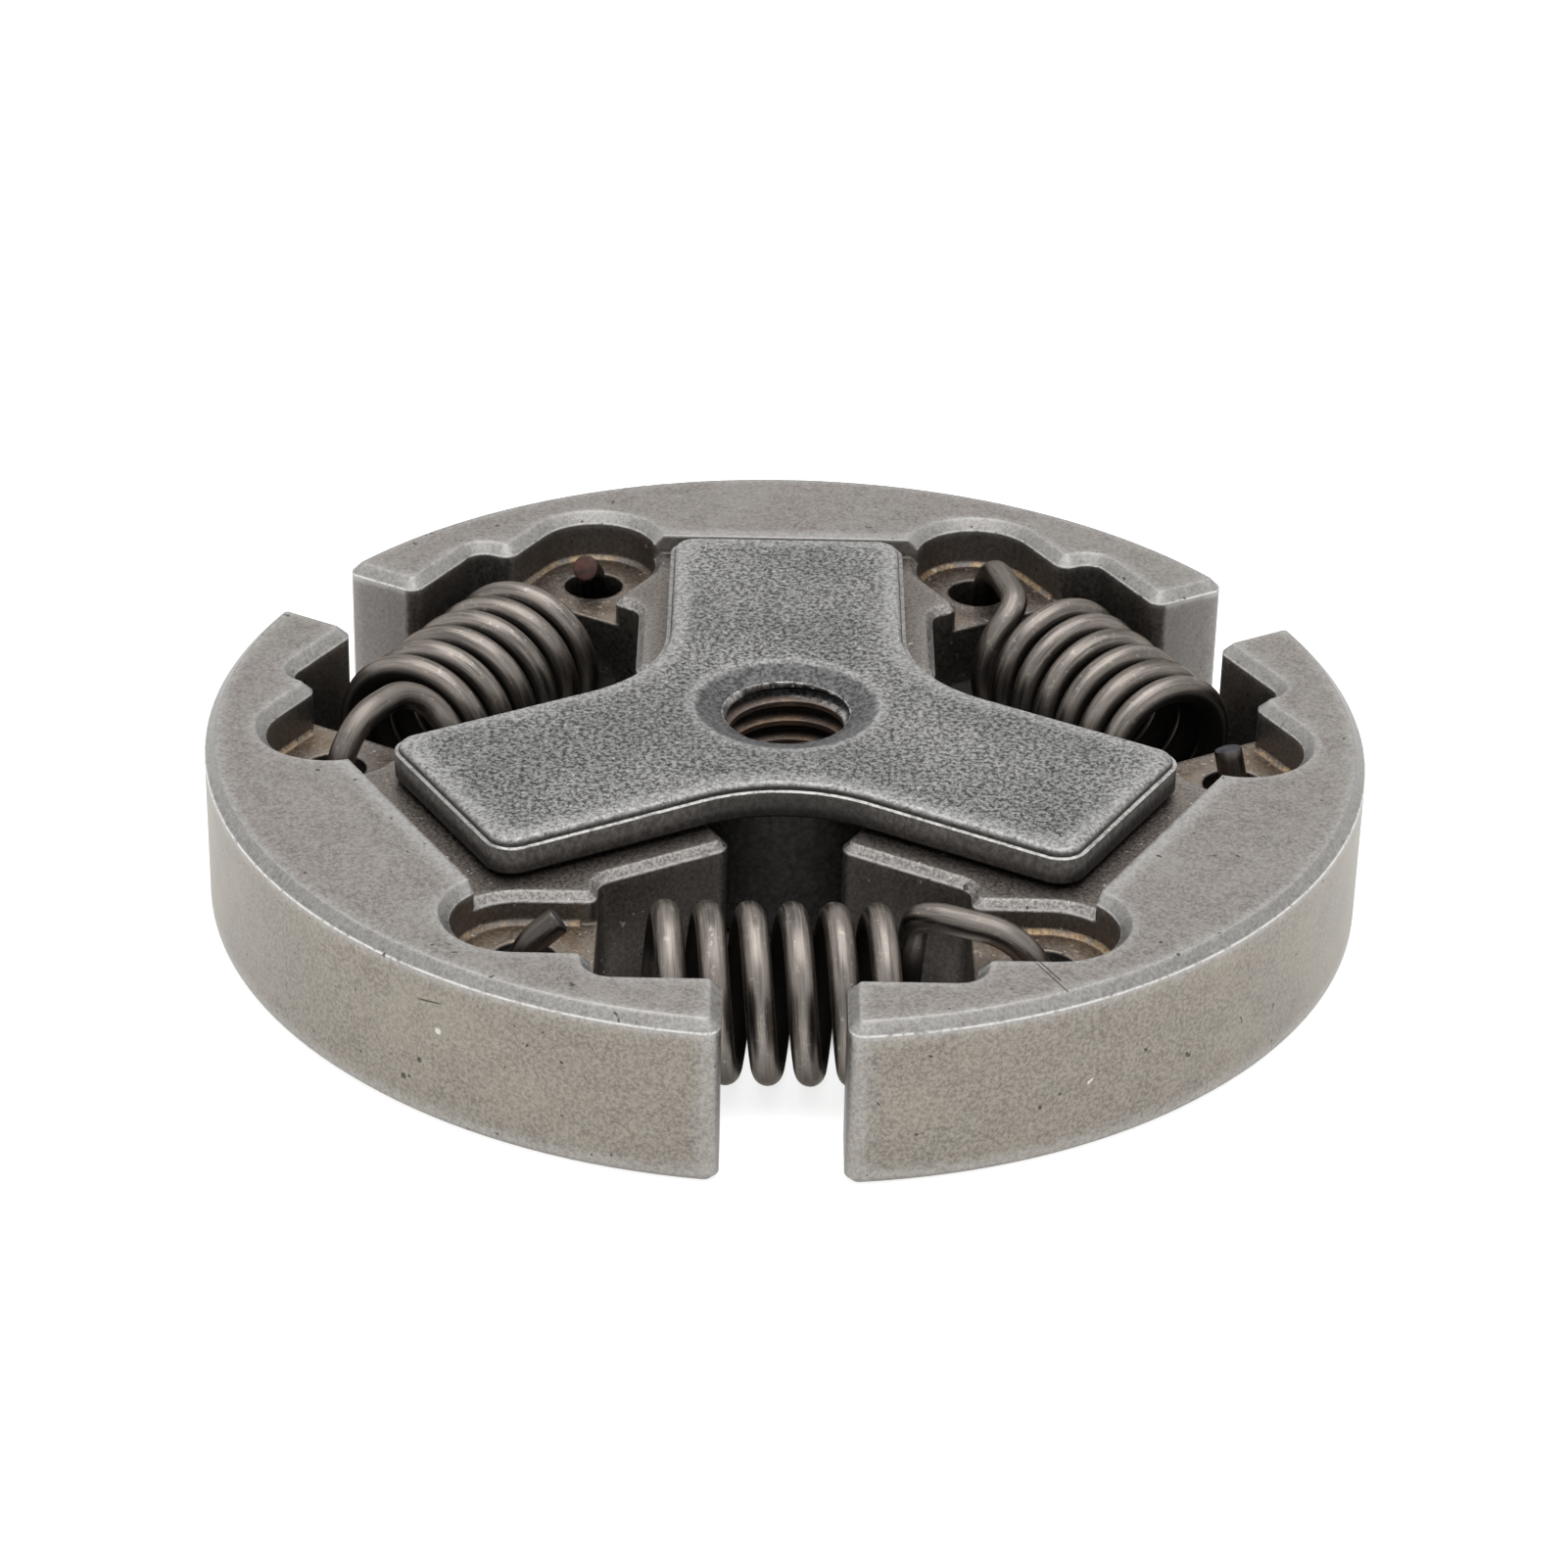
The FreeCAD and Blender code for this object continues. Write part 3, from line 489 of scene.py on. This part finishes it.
def finish_shoes():
    """The faces, the edges, the marks and the painted shade and dirt of a shoe in one material."""
    material, tree, shader = new_finish("shoe_steel_finish")
    on = Surface(tree, round_mm=0.28, rubbed_mm=1.4, occlusion_mm=2.6)
    fleck = between(tree, noise(tree, on.place, 4.6, 4.0, 0.8), 0.38, 0.62)
    pits = between(tree, noise(tree, on.place, 1.9, 1.0, seed=8.0), 0.725, 0.77)
    for point, radius in PITS:
        pits = calc(tree, "MAXIMUM", pits, on.near(tree, point, radius))
    for start, end, width in SCRATCHES:
        pits = calc(tree, "MAXIMUM", pits, on.scratch(tree, start, end, width))
    colour = shoe_faces(tree, on, fleck)
    colour = shoe_edges(tree, on, fleck, colour)
    colour = blend_colours(tree, both(tree, pits, 0.85), colour, (0.05, 0.042, 0.036))

    dust = between(tree, noise(tree, on.place, 2.4, 1.0, seed=11.0), 0.71, 0.76)
    inner = between(tree, on.away, *DUSTY_MM)
    nicks = both(tree, dust, between(tree, on.height, LEDGE_MM + 0.3, LEDGE_MM + 0.1), inner)
    for point, radius in NICKS:
        nicks = calc(tree, "MAXIMUM", nicks, on.near(tree, point, radius))
    colour = blend_colours(tree, both(tree, nicks, 0.85), colour, (0.60, 0.58, 0.54))
    # Painted shade and dirt in the inner corners.
    shade_and_dirt = both(tree, between(tree, on.occluded, 0.45, 1.0), 0.45)
    colour = blend_colours(tree, shade_and_dirt, colour, (0.03, 0.025, 0.021))
    tree.links.new(colour, shader.inputs["Base Color"])

    tree.links.new(calc(tree, "MULTIPLY_ADD", fleck, 0.14, 0.36), shader.inputs["Roughness"])
    relief = calc(tree, "SUBTRACT", calc(tree, "MULTIPLY", fleck, 0.4), pits)
    bump = put(tree, "ShaderNodeBump", {"Strength": 0.3, "Distance": GRAIN_DEPTH, "Height": relief,
                                        "Normal": on.rounded})
    tree.links.new(bump.outputs[0], shader.inputs["Normal"])
    return material


shoe_finish = finish_shoes()
for name in SHOE_NAMES:
    node_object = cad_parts[name]
    node_object.data.materials.clear()
    node_object.data.materials.append(shoe_finish)
print("made", shoe_finish.name, "for", len(SHOE_NAMES), "shoes")

# %% [markdown]
# ## The springs' measures
# The coil's radius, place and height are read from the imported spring's box. The wire is 1.6 mm thick. Each
# half of the coil winds three and a quarter turns, less the angle at which its hook leaves early. The last
# values say how fine the mesh is and which ways the pocket's frame points.

# %% Measures of a spring
spring_low, spring_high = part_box("spring_front")
WIRE_RADIUS = 0.8 * MM
COIL_RADIUS = (spring_high.y - spring_low.y) / 2 - WIRE_RADIUS
COIL_DISTANCE = -(spring_high.y + spring_low.y) / 2
COIL_HEIGHT = (spring_high.z + spring_low.z) / 2
COIL_PITCH = 2.27 * MM
HALF_TURNS = 3.25
HOOK_RADIUS = 3.8 * MM
RING_POINTS = 24
STEPS_PER_TURN = 56
ALONG = Vector((0, 1, 0))
UP = Vector((0, 0, 1))
print(f"coil radius {COIL_RADIUS / MM:.2f} mm, {COIL_DISTANCE / MM:.2f} mm from the axis")

# %% [markdown]
# ## The springs' finish
# Spring wire is drawn through a die and tempered in oil, so it is dark brown-grey with fine streaks along
# its length. The streaks have to bend with the wire: each ring of the wire's mesh keeps its place on the
# straight wire, before winding, and the noise is read there, stretched along the wire. On that straight
# wire X is the coil's outer side, so shade can be painted on the inside of the coil there. The wire's low
# parts and its hooks are painted with shade as well.

# %% Finish of the spring wire
WIRE_PLACE = "wire_place"
DRAWN_STRETCH = 0.06
STREAK_DEPTH = 0.02 * MM
SHADED_SIDE_MM = (0.45, -0.10)
SHADED_LOW_WIRE_MM = (5.5, 0.5)
# A hook leaves the coil about an eighth of a turn early. The lengths along the wire count from there.
EARLY_TURNS = 1 / 8
HOOK_FADE_MM = 4
TIP_START_MM = 8
TIP_FULL_MM = 11
RUSTY_DEPTH_MM = (5.0, 8.0)


def finish_wire():
    """Drawn wire with streaks along it, with painted shade inside the coil, low down and on the hook, and
    darker at the tip.
    """
    material, tree, shader = new_finish("spring_wire_finish")
    straight = put(tree, "ShaderNodeAttribute", attribute_name=WIRE_PLACE).outputs["Vector"]
    drawn = put(tree, "ShaderNodeMapping", {"Vector": straight, "Scale": (1.0, 1.0, DRAWN_STRETCH)})
    streak = between(tree, noise(tree, drawn.outputs[0], 2.8, 3.0, 0.72), 0.40, 0.62)
    fleck = between(tree, noise(tree, straight, 3.2, 2.0, 0.65), 0.56, 0.72)
    tone = between(tree, noise(tree, straight, 0.25, 2.0), 0.36, 0.64)
    base = blend_colours(tree, tone, (0.125, 0.112, 0.103), (0.195, 0.173, 0.157))
    base = blend_colours(tree, both(tree, streak, 0.6), base, (0.345, 0.308, 0.275))
    base = blend_colours(tree, both(tree, fleck, 0.5), base, (0.42, 0.378, 0.336))
    place = put(tree, "ShaderNodeSeparateXYZ", {0: millimetres(tree)})
    # The wire is painted darker low down, as shade.
    low = both(tree, between(tree, place.outputs["Z"], *SHADED_LOW_WIRE_MM), 0.7)
    base = blend_colours(tree, low, base, (0.04, 0.035, 0.032))
    spot = put(tree, "ShaderNodeSeparateXYZ", {0: straight})
    coil_mm = (HALF_TURNS - EARLY_TURNS) * math.tau * COIL_RADIUS / MM
    # Painted shade on the coil's inner side.
    inside = both(tree, between(tree, spot.outputs["X"], *SHADED_SIDE_MM),
                  between(tree, spot.outputs["Z"], coil_mm, coil_mm - HOOK_FADE_MM), 0.93)
    base = blend_colours(tree, inside, base, (0.01, 0.009, 0.008))
    # Painted shade on the hooks.
    hook = both(tree, between(tree, spot.outputs["Z"], coil_mm, coil_mm + HOOK_FADE_MM), 0.3)
    base = blend_colours(tree, hook, base, (0.06, 0.053, 0.048))
    tip = both(tree, between(tree, spot.outputs["Z"], coil_mm + TIP_START_MM, coil_mm + TIP_FULL_MM), 0.5)
    base = blend_colours(tree, tip, base, (0.03, 0.026, 0.025))
    tree.links.new(base, shader.inputs["Base Color"])
    rough = calc(tree, "ADD", calc(tree, "MULTIPLY_ADD", streak, 0.12, 0.30), both(tree, inside, 0.45))
    tree.links.new(rough, shader.inputs["Roughness"])
    shader.inputs["Specular Tint"].default_value = (0.55, 0.53, 0.50, 1.0)
    bump = put(tree, "ShaderNodeBump", {"Strength": 0.35, "Distance": STREAK_DEPTH, "Height": streak})
    tree.links.new(bump.outputs[0], shader.inputs["Normal"])
    return material


def finish_cut():
    """The sheared tips: a rusty one at the back, oily blue-black ones in front."""
    material, tree, shader = new_finish("wire_cut_finish")
    place = millimetres(tree)
    depth = put(tree, "ShaderNodeSeparateXYZ", {0: place}).outputs["Y"]
    stain = between(tree, noise(tree, place, 1.6, 3.0), 0.40, 0.62)
    rust = blend_colours(tree, stain, (0.10, 0.052, 0.045), (0.06, 0.04, 0.036))
    oil = blend_colours(tree, stain, (0.028, 0.027, 0.031), (0.07, 0.069, 0.08))
    colour = blend_colours(tree, between(tree, depth, *RUSTY_DEPTH_MM), oil, rust)
    tree.links.new(colour, shader.inputs["Base Color"])
    shader.inputs["Roughness"].default_value = 0.5
    return material


wire_finish = finish_wire()
cut_finish = finish_cut()
print("made", wire_finish.name, "and", cut_finish.name)

# %% [markdown]
# ## Winding the springs
# A spring stretches as its shoes move out, so each one is wound as two halves that meet in the middle of
# the coil. Each half starts as a ring of points there and grows ring by ring: the last ring is extruded,
# turned and shifted by a small step. A helix winds the coil, a bend leads the wire out along the coil's
# axis, and a wider arc makes the hook that goes through the shoe's hole. The half at the other end is
# wound the same way with its own hook, and turned half round about the pocket's own line.

# %% Wind half a spring
class Wire:
    """A round wire that grows ring by ring, and keeps each point's place on the straight wire."""

    def __init__(self, centre, direction, outward):
        self.mesh = bmesh.new()
        self.straight = self.mesh.verts.layers.float_vector.new(WIRE_PLACE)
        turn = direction.to_track_quat("Z", "X").to_matrix().to_4x4()
        made = bmesh.ops.create_circle(self.mesh, segments=RING_POINTS, radius=WIRE_RADIUS,
                                       matrix=Matrix.Translation(centre) @ turn)
        self.ring = made["verts"]
        self.length = 0.0
        for vert in self.ring:
            offset = (vert.co - centre) / MM
            vert[self.straight] = (offset.dot(outward), offset.dot(direction.cross(outward).normalized()), 0)

    def grow(self, length, rotation=None, centre=None, shift=None):
        """Extrude the last ring, turn it about a centre and shift it."""
        edges = list({edge for vert in self.ring for edge in vert.link_edges
                      if all(end in self.ring for end in edge.verts)})
        made = bmesh.ops.extrude_edge_only(self.mesh, edges=edges)
        ring = [item for item in made["geom"] if isinstance(item, bmesh.types.BMVert)]
        if rotation is not None:
            bmesh.ops.rotate(self.mesh, cent=centre, matrix=rotation, verts=ring)
        if shift is not None:
            bmesh.ops.translate(self.mesh, vec=shift, verts=ring)
        self.length += length
        for vert in ring:
            others = [edge.other_vert(vert) for edge in vert.link_edges]
            origin = next(other for other in others if other in self.ring)
            place = origin[self.straight].copy()
            place.z = self.length / MM
            vert[self.straight] = place
        self.ring = ring

    def arc(self, centre, axis, angle, radius, rise=0.0):
        """Sweep an arc, or a helix where it rises along the axis."""
        steps = max(3, round(angle / math.tau * STEPS_PER_TURN))
        step = Matrix.Rotation(angle / steps, 3, axis)
        for _ in range(steps):
            self.grow(math.hypot(radius * angle, rise) / steps, step, centre, axis * (rise / steps))
            centre = centre + axis * (rise / steps)

    def straight_run(self, direction, length, steps=4):
        """Carry the wire straight on."""
        for _ in range(steps):
            self.grow(length / steps, shift=direction * (length / steps))


def half_spring(hook):
    """Half a spring in its pocket's frame: X outward, Y along the coil, Z up."""
    slant, dip, last = math.radians(hook.slant), math.radians(hook.dip), -math.radians(hook.lead)
    bend_radius = hook.bend * MM
    first = -HALF_TURNS * math.tau
    wound = last - first
    middle = Vector((COIL_DISTANCE, 0, COIL_HEIGHT))
    rise = COIL_PITCH * wound / math.tau
    spoke = Vector((math.sin(first), 0, math.cos(first)))
    climb = COIL_PITCH / (math.tau * COIL_RADIUS)
    wire = Wire(middle + spoke * COIL_RADIUS, ALONG.cross(spoke) + ALONG * climb, spoke)
    wire.arc(middle, ALONG, wound, COIL_RADIUS, rise)

    level = Vector((math.sin(slant), math.cos(slant), 0))
    leg = level * math.cos(dip) - UP * math.sin(dip)
    drop = -level * math.sin(dip) - UP * math.cos(dip)
    spoke = Vector((math.sin(last), 0, math.cos(last)))
    tangent = (ALONG.cross(spoke) + ALONG * climb).normalized()
    end = middle + ALONG * rise + spoke * COIL_RADIUS
    inward = (leg - tangent * tangent.dot(leg)).normalized()
    centre = end + inward * bend_radius
    turn, axis = tangent.angle(leg), tangent.cross(inward)
    wire.arc(centre, axis, turn, bend_radius)
    bend_end = centre + Matrix.Rotation(turn, 3, axis) @ (end - centre)

    run = (hook.reach * MM - HOOK_RADIUS - bend_end.y) / leg.y
    wire.straight_run(leg, run)
    crown = bend_end + leg * run
    sweep, axis = math.radians(hook.back) - dip, leg.cross(drop)
    wire.arc(crown + drop * HOOK_RADIUS, axis, sweep, HOOK_RADIUS)
    wire.straight_run(Matrix.Rotation(sweep, 3, axis) @ leg, hook.tip * MM)
    return wire


CUT_BREAK = 0.16 * MM
WIRE_SMOOTH_ANGLE = math.radians(35)


def close_wire(wire):
    """Close both ends, and break the edge of the cut tip."""
    bm = wire.mesh
    tip = set(wire.ring)
    loops = [edge for edge in bm.edges if edge.is_boundary]
    caps = bmesh.ops.holes_fill(bm, edges=loops, sides=0)["faces"]
    for face in caps:
        if all(vert in tip for vert in face.verts):
            face.material_index = 1
            rim = list(face.edges)
    bmesh.ops.bevel(bm, geom=rim, offset=CUT_BREAK, offset_type="OFFSET", affect="EDGES", segments=2,
                    profile=0.5, material=-1)
    bmesh.ops.recalc_face_normals(bm, faces=bm.faces[:])


POCKET_ANGLES = {"spring_right": 30, "spring_left": 150, "spring_front": 270}
# A hook holds a shoe. It leaves the coil some degrees before its top, in a bend of some millimetres, with a
# slant outward and a dip to the web. It reaches some millimetres from the coil's middle and turns back by
# an angle to its straight tip. In the photo the hooks aren't bent quite alike.
Hook = namedtuple("Hook", "shoe lead bend slant dip reach back tip",
                  defaults=(50, 2.0, 17, 0, 14.45, 127, 1.6))
SPRING_ENDS = {
    "spring_right": {"upper": Hook("shoe_back", lead=40, slant=16),
                     "lower": Hook("shoe_right", dip=6, back=107, tip=2.5)},
    "spring_left": {"upper": Hook("shoe_left", lead=45, bend=2.6, slant=4),
                    "lower": Hook("shoe_back", reach=14.85, back=145, tip=1.0)},
    "spring_front": {"upper": Hook("shoe_right", slant=16, dip=5),
                     "lower": Hook("shoe_left", dip=6, reach=14.85, back=145, tip=1.0)},
}


def make_spring(name):
    """Both halves of one spring, each wound with its own hook and turned into the spring's pocket."""
    turn = Matrix.Rotation(math.radians(POCKET_ANGLES[name]), 4, "Z")
    middle = Vector((COIL_DISTANCE, 0, COIL_HEIGHT))
    swap = Matrix.Translation(middle) @ Matrix.Rotation(math.pi, 4, "X") @ Matrix.Translation(-middle)
    halves = []
    for label, hook in SPRING_ENDS[name].items():
        place = turn if label == "upper" else turn @ swap
        wire = half_spring(hook)
        close_wire(wire)
        bmesh.ops.transform(wire.mesh, matrix=place, verts=wire.mesh.verts[:])
        mesh = bpy.data.meshes.new(f"{name}_{label}")
        wire.mesh.to_mesh(mesh)
        wire.mesh.free()
        mesh.materials.append(wire_finish)
        mesh.materials.append(cut_finish)
        mesh.shade_smooth()
        mesh.set_sharp_from_angle(angle=WIRE_SMOOTH_ANGLE)
        piece = bpy.data.objects.new(f"{name}_{label}", mesh)
        bpy.context.scene.collection.objects.link(piece)
        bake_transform(piece)
        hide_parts(name)
        halves.append(piece)
    return halves


for name in POCKET_ANGLES:
    halves = make_spring(name)
    print(name, "wound in", len(halves), "halves,", sum(len(p.data.polygons) for p in halves), "faces")

# %% [markdown]
# ## Cutting the thread
# The solid's bore stands at the thread's core. A left-hand M8 thread is cut into a copy of the hub with a
# Boolean, the way a tap cuts it: a V-shaped bar wound round the axis is the tap's tooth. Because it is
# cut, the thread runs out in the lead-in by itself.

# %% Cut the hub's thread
THREAD_PITCH = 1.25 * MM
THREAD_CORE = 3.325 * MM
THREAD_ROOT = 4.0 * MM
TOOTH_OVERLAP = 0.12 * MM
FLANK_ANGLE = math.radians(30)
MERGE_DISTANCE = 1e-6
HUB_SMOOTH_ANGLE = math.radians(28)


def thread_tooth():
    """A V-shaped bar wound left-handed along the bore, a little longer than the hub."""
    bm = bmesh.new()
    slope = math.tan(FLANK_ANGLE)
    root_half = THREAD_PITCH / 16
    inner = THREAD_CORE - TOOTH_OVERLAP
    inner_half = root_half + (THREAD_ROOT - inner) * slope
    start = hub_low.z - THREAD_PITCH
    outline = ((inner, -inner_half), (THREAD_ROOT, -root_half),
               (THREAD_ROOT, root_half), (inner, inner_half))
    section = [bm.verts.new((radius, 0, start + lift)) for radius, lift in outline]
    ends = [bm.faces.new(section)]
    turns = (hub_high.z - hub_low.z) / THREAD_PITCH + 2
    steps = round(turns * STEPS_PER_TURN)
    climb = (0, 0, turns * THREAD_PITCH / steps)
    bmesh.ops.spin(bm, geom=ends, cent=(0, 0, 0), axis=(0, 0, 1), angle=-turns * math.tau, steps=steps,
                   dvec=climb, use_duplicate=False)
    bmesh.ops.recalc_face_normals(bm, faces=bm.faces[:])
    mesh = bpy.data.meshes.new("thread_tooth")
    bm.to_mesh(mesh)
    bm.free()
    return bpy.data.objects.new("thread_tooth", mesh)


def cut_hub():
    """A merged copy of the hub with the thread cut into its bore."""
    bm = bmesh.new()
    bm.from_mesh(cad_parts["hub"].data)
    bmesh.ops.remove_doubles(bm, verts=bm.verts[:], dist=MERGE_DISTANCE)
    mesh = bpy.data.meshes.new("hub_threaded")
    bm.to_mesh(mesh)
    bm.free()
    hub = bpy.data.objects.new("hub_threaded", mesh)
    tooth = thread_tooth()
    for item in (hub, tooth):
        bpy.context.scene.collection.objects.link(item)
    cut = hub.modifiers.new("thread", "BOOLEAN")
    cut.operation = "DIFFERENCE"
    cut.solver = "EXACT"
    cut.object = tooth
    bpy.context.view_layer.update()
    cut_mesh = bpy.data.meshes.new_from_object(hub.evaluated_get(bpy.context.evaluated_depsgraph_get()))
    hub.modifiers.clear()
    hub.data = cut_mesh
    bpy.data.objects.remove(tooth)
    return hub


hub = cut_hub()
hub.data.materials.clear()
hub.data.materials.append(hub_finish)
hub.data.shade_smooth()
hub.data.set_sharp_from_angle(angle=HUB_SMOOTH_ANGLE)
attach(hub, "hub")
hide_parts("hub")
print("hub with thread:", len(hub.data.polygons), "faces")

# %% [markdown]
# ## The table and the light
# The clutch lies on white paper in a light tent. One large soft lamp hangs overhead, and the white walls
# fill in from all round. The floor adds a little light of its own for the camera and for reflections
# only, so it reads as white paper and still takes the clutch's shadow. Under the clutch the paper carries a
# painted shadow, because the photo shows almost no white through the pockets.

# %% Floor
FLOOR_RADIUS = 2.0
FLOOR_GLOW = 0.78
PAINTED_SHADOW_BACK_MM = 5.0
PAINTED_SHADOW_SQUEEZE = 0.8
PAINTED_SHADOW_EDGE_MM = (22.0, 25.5)


def seen_directly(tree):
    """1 for what the camera sees, also by a reflection or through a clear thing, and 0 for lighting."""
    path = put(tree, "ShaderNodeLightPath")
    seen = calc(tree, "MAXIMUM", path.outputs["Is Camera Ray"], path.outputs["Is Glossy Ray"])
    return calc(tree, "MAXIMUM", seen, path.outputs["Is Transmission Ray"])


def make_floor():
    """A wide white sheet with a painted shadow under the clutch, that glows a little where it is seen."""
    bm = bmesh.new()
    bmesh.ops.create_circle(bm, cap_ends=True, segments=64, radius=FLOOR_RADIUS)
    mesh = bpy.data.meshes.new("white_floor")
    bm.to_mesh(mesh)
    bm.free()
    floor = bpy.data.objects.new("white_floor", mesh)
    bpy.context.scene.collection.objects.link(floor)
    material = bpy.data.materials.new("white_paper")
    material.use_nodes = True
    tree = material.node_tree
    tree.nodes.clear()
    patch = put(tree, "ShaderNodeMapping", {"Vector": millimetres(tree),
                                            "Location": (0, -PAINTED_SHADOW_BACK_MM, 0),
                                            "Scale": (PAINTED_SHADOW_SQUEEZE, 1, 1)})
    away = put(tree, "ShaderNodeVectorMath", {0: patch.outputs[0]}, operation="LENGTH")
    open_floor = between(tree, away.outputs["Value"], *PAINTED_SHADOW_EDGE_MM)
    # The painted shadow: the paper is darker under the clutch.
    colour = blend_colours(tree, open_floor, (0.25, 0.24, 0.23), (0.72, 0.72, 0.72))
    paper = put(tree, "ShaderNodeBsdfDiffuse", {"Color": colour})
    strength = both(tree, seen_directly(tree), open_floor, FLOOR_GLOW)
    glow = put(tree, "ShaderNodeEmission", {"Color": (1, 1, 1, 1), "Strength": strength})
    lit_paper = put(tree, "ShaderNodeAddShader", {0: paper.outputs[0], 1: glow.outputs[0]})
    put(tree, "ShaderNodeOutputMaterial", {"Surface": lit_paper.outputs[0]})
    mesh.materials.append(material)
    return floor


print("made", make_floor().name)

# %% Lamp and white surroundings
LAMP_SIDE = 0.5
LAMP_HEIGHT = 0.5
LAMP_BACK = 0.05
LAMP_WATTS = 1.6
TENT_FILL = 0.5

lamp_data = bpy.data.lights.new("overhead_lamp", "AREA")
lamp_data.shape = "SQUARE"
lamp_data.size = LAMP_SIDE
lamp_data.energy = LAMP_WATTS
lamp = bpy.data.objects.new("overhead_lamp", lamp_data)
lamp.location = (0, LAMP_BACK, LAMP_HEIGHT)
bpy.context.scene.collection.objects.link(lamp)

world = bpy.data.worlds.new("light_tent")
bpy.context.scene.world = world
world.use_nodes = True
tree = world.node_tree
tree.nodes.clear()
strength = calc(tree, "MULTIPLY_ADD", seen_directly(tree), 1 - TENT_FILL, TENT_FILL)
tent = put(tree, "ShaderNodeBackground", {"Color": (1, 1, 1, 1), "Strength": strength})
put(tree, "ShaderNodeOutputWorld", {"Surface": tent.outputs[0]})
bpy.context.scene.view_settings.view_transform = "Standard"
print("lamp and tent ready")
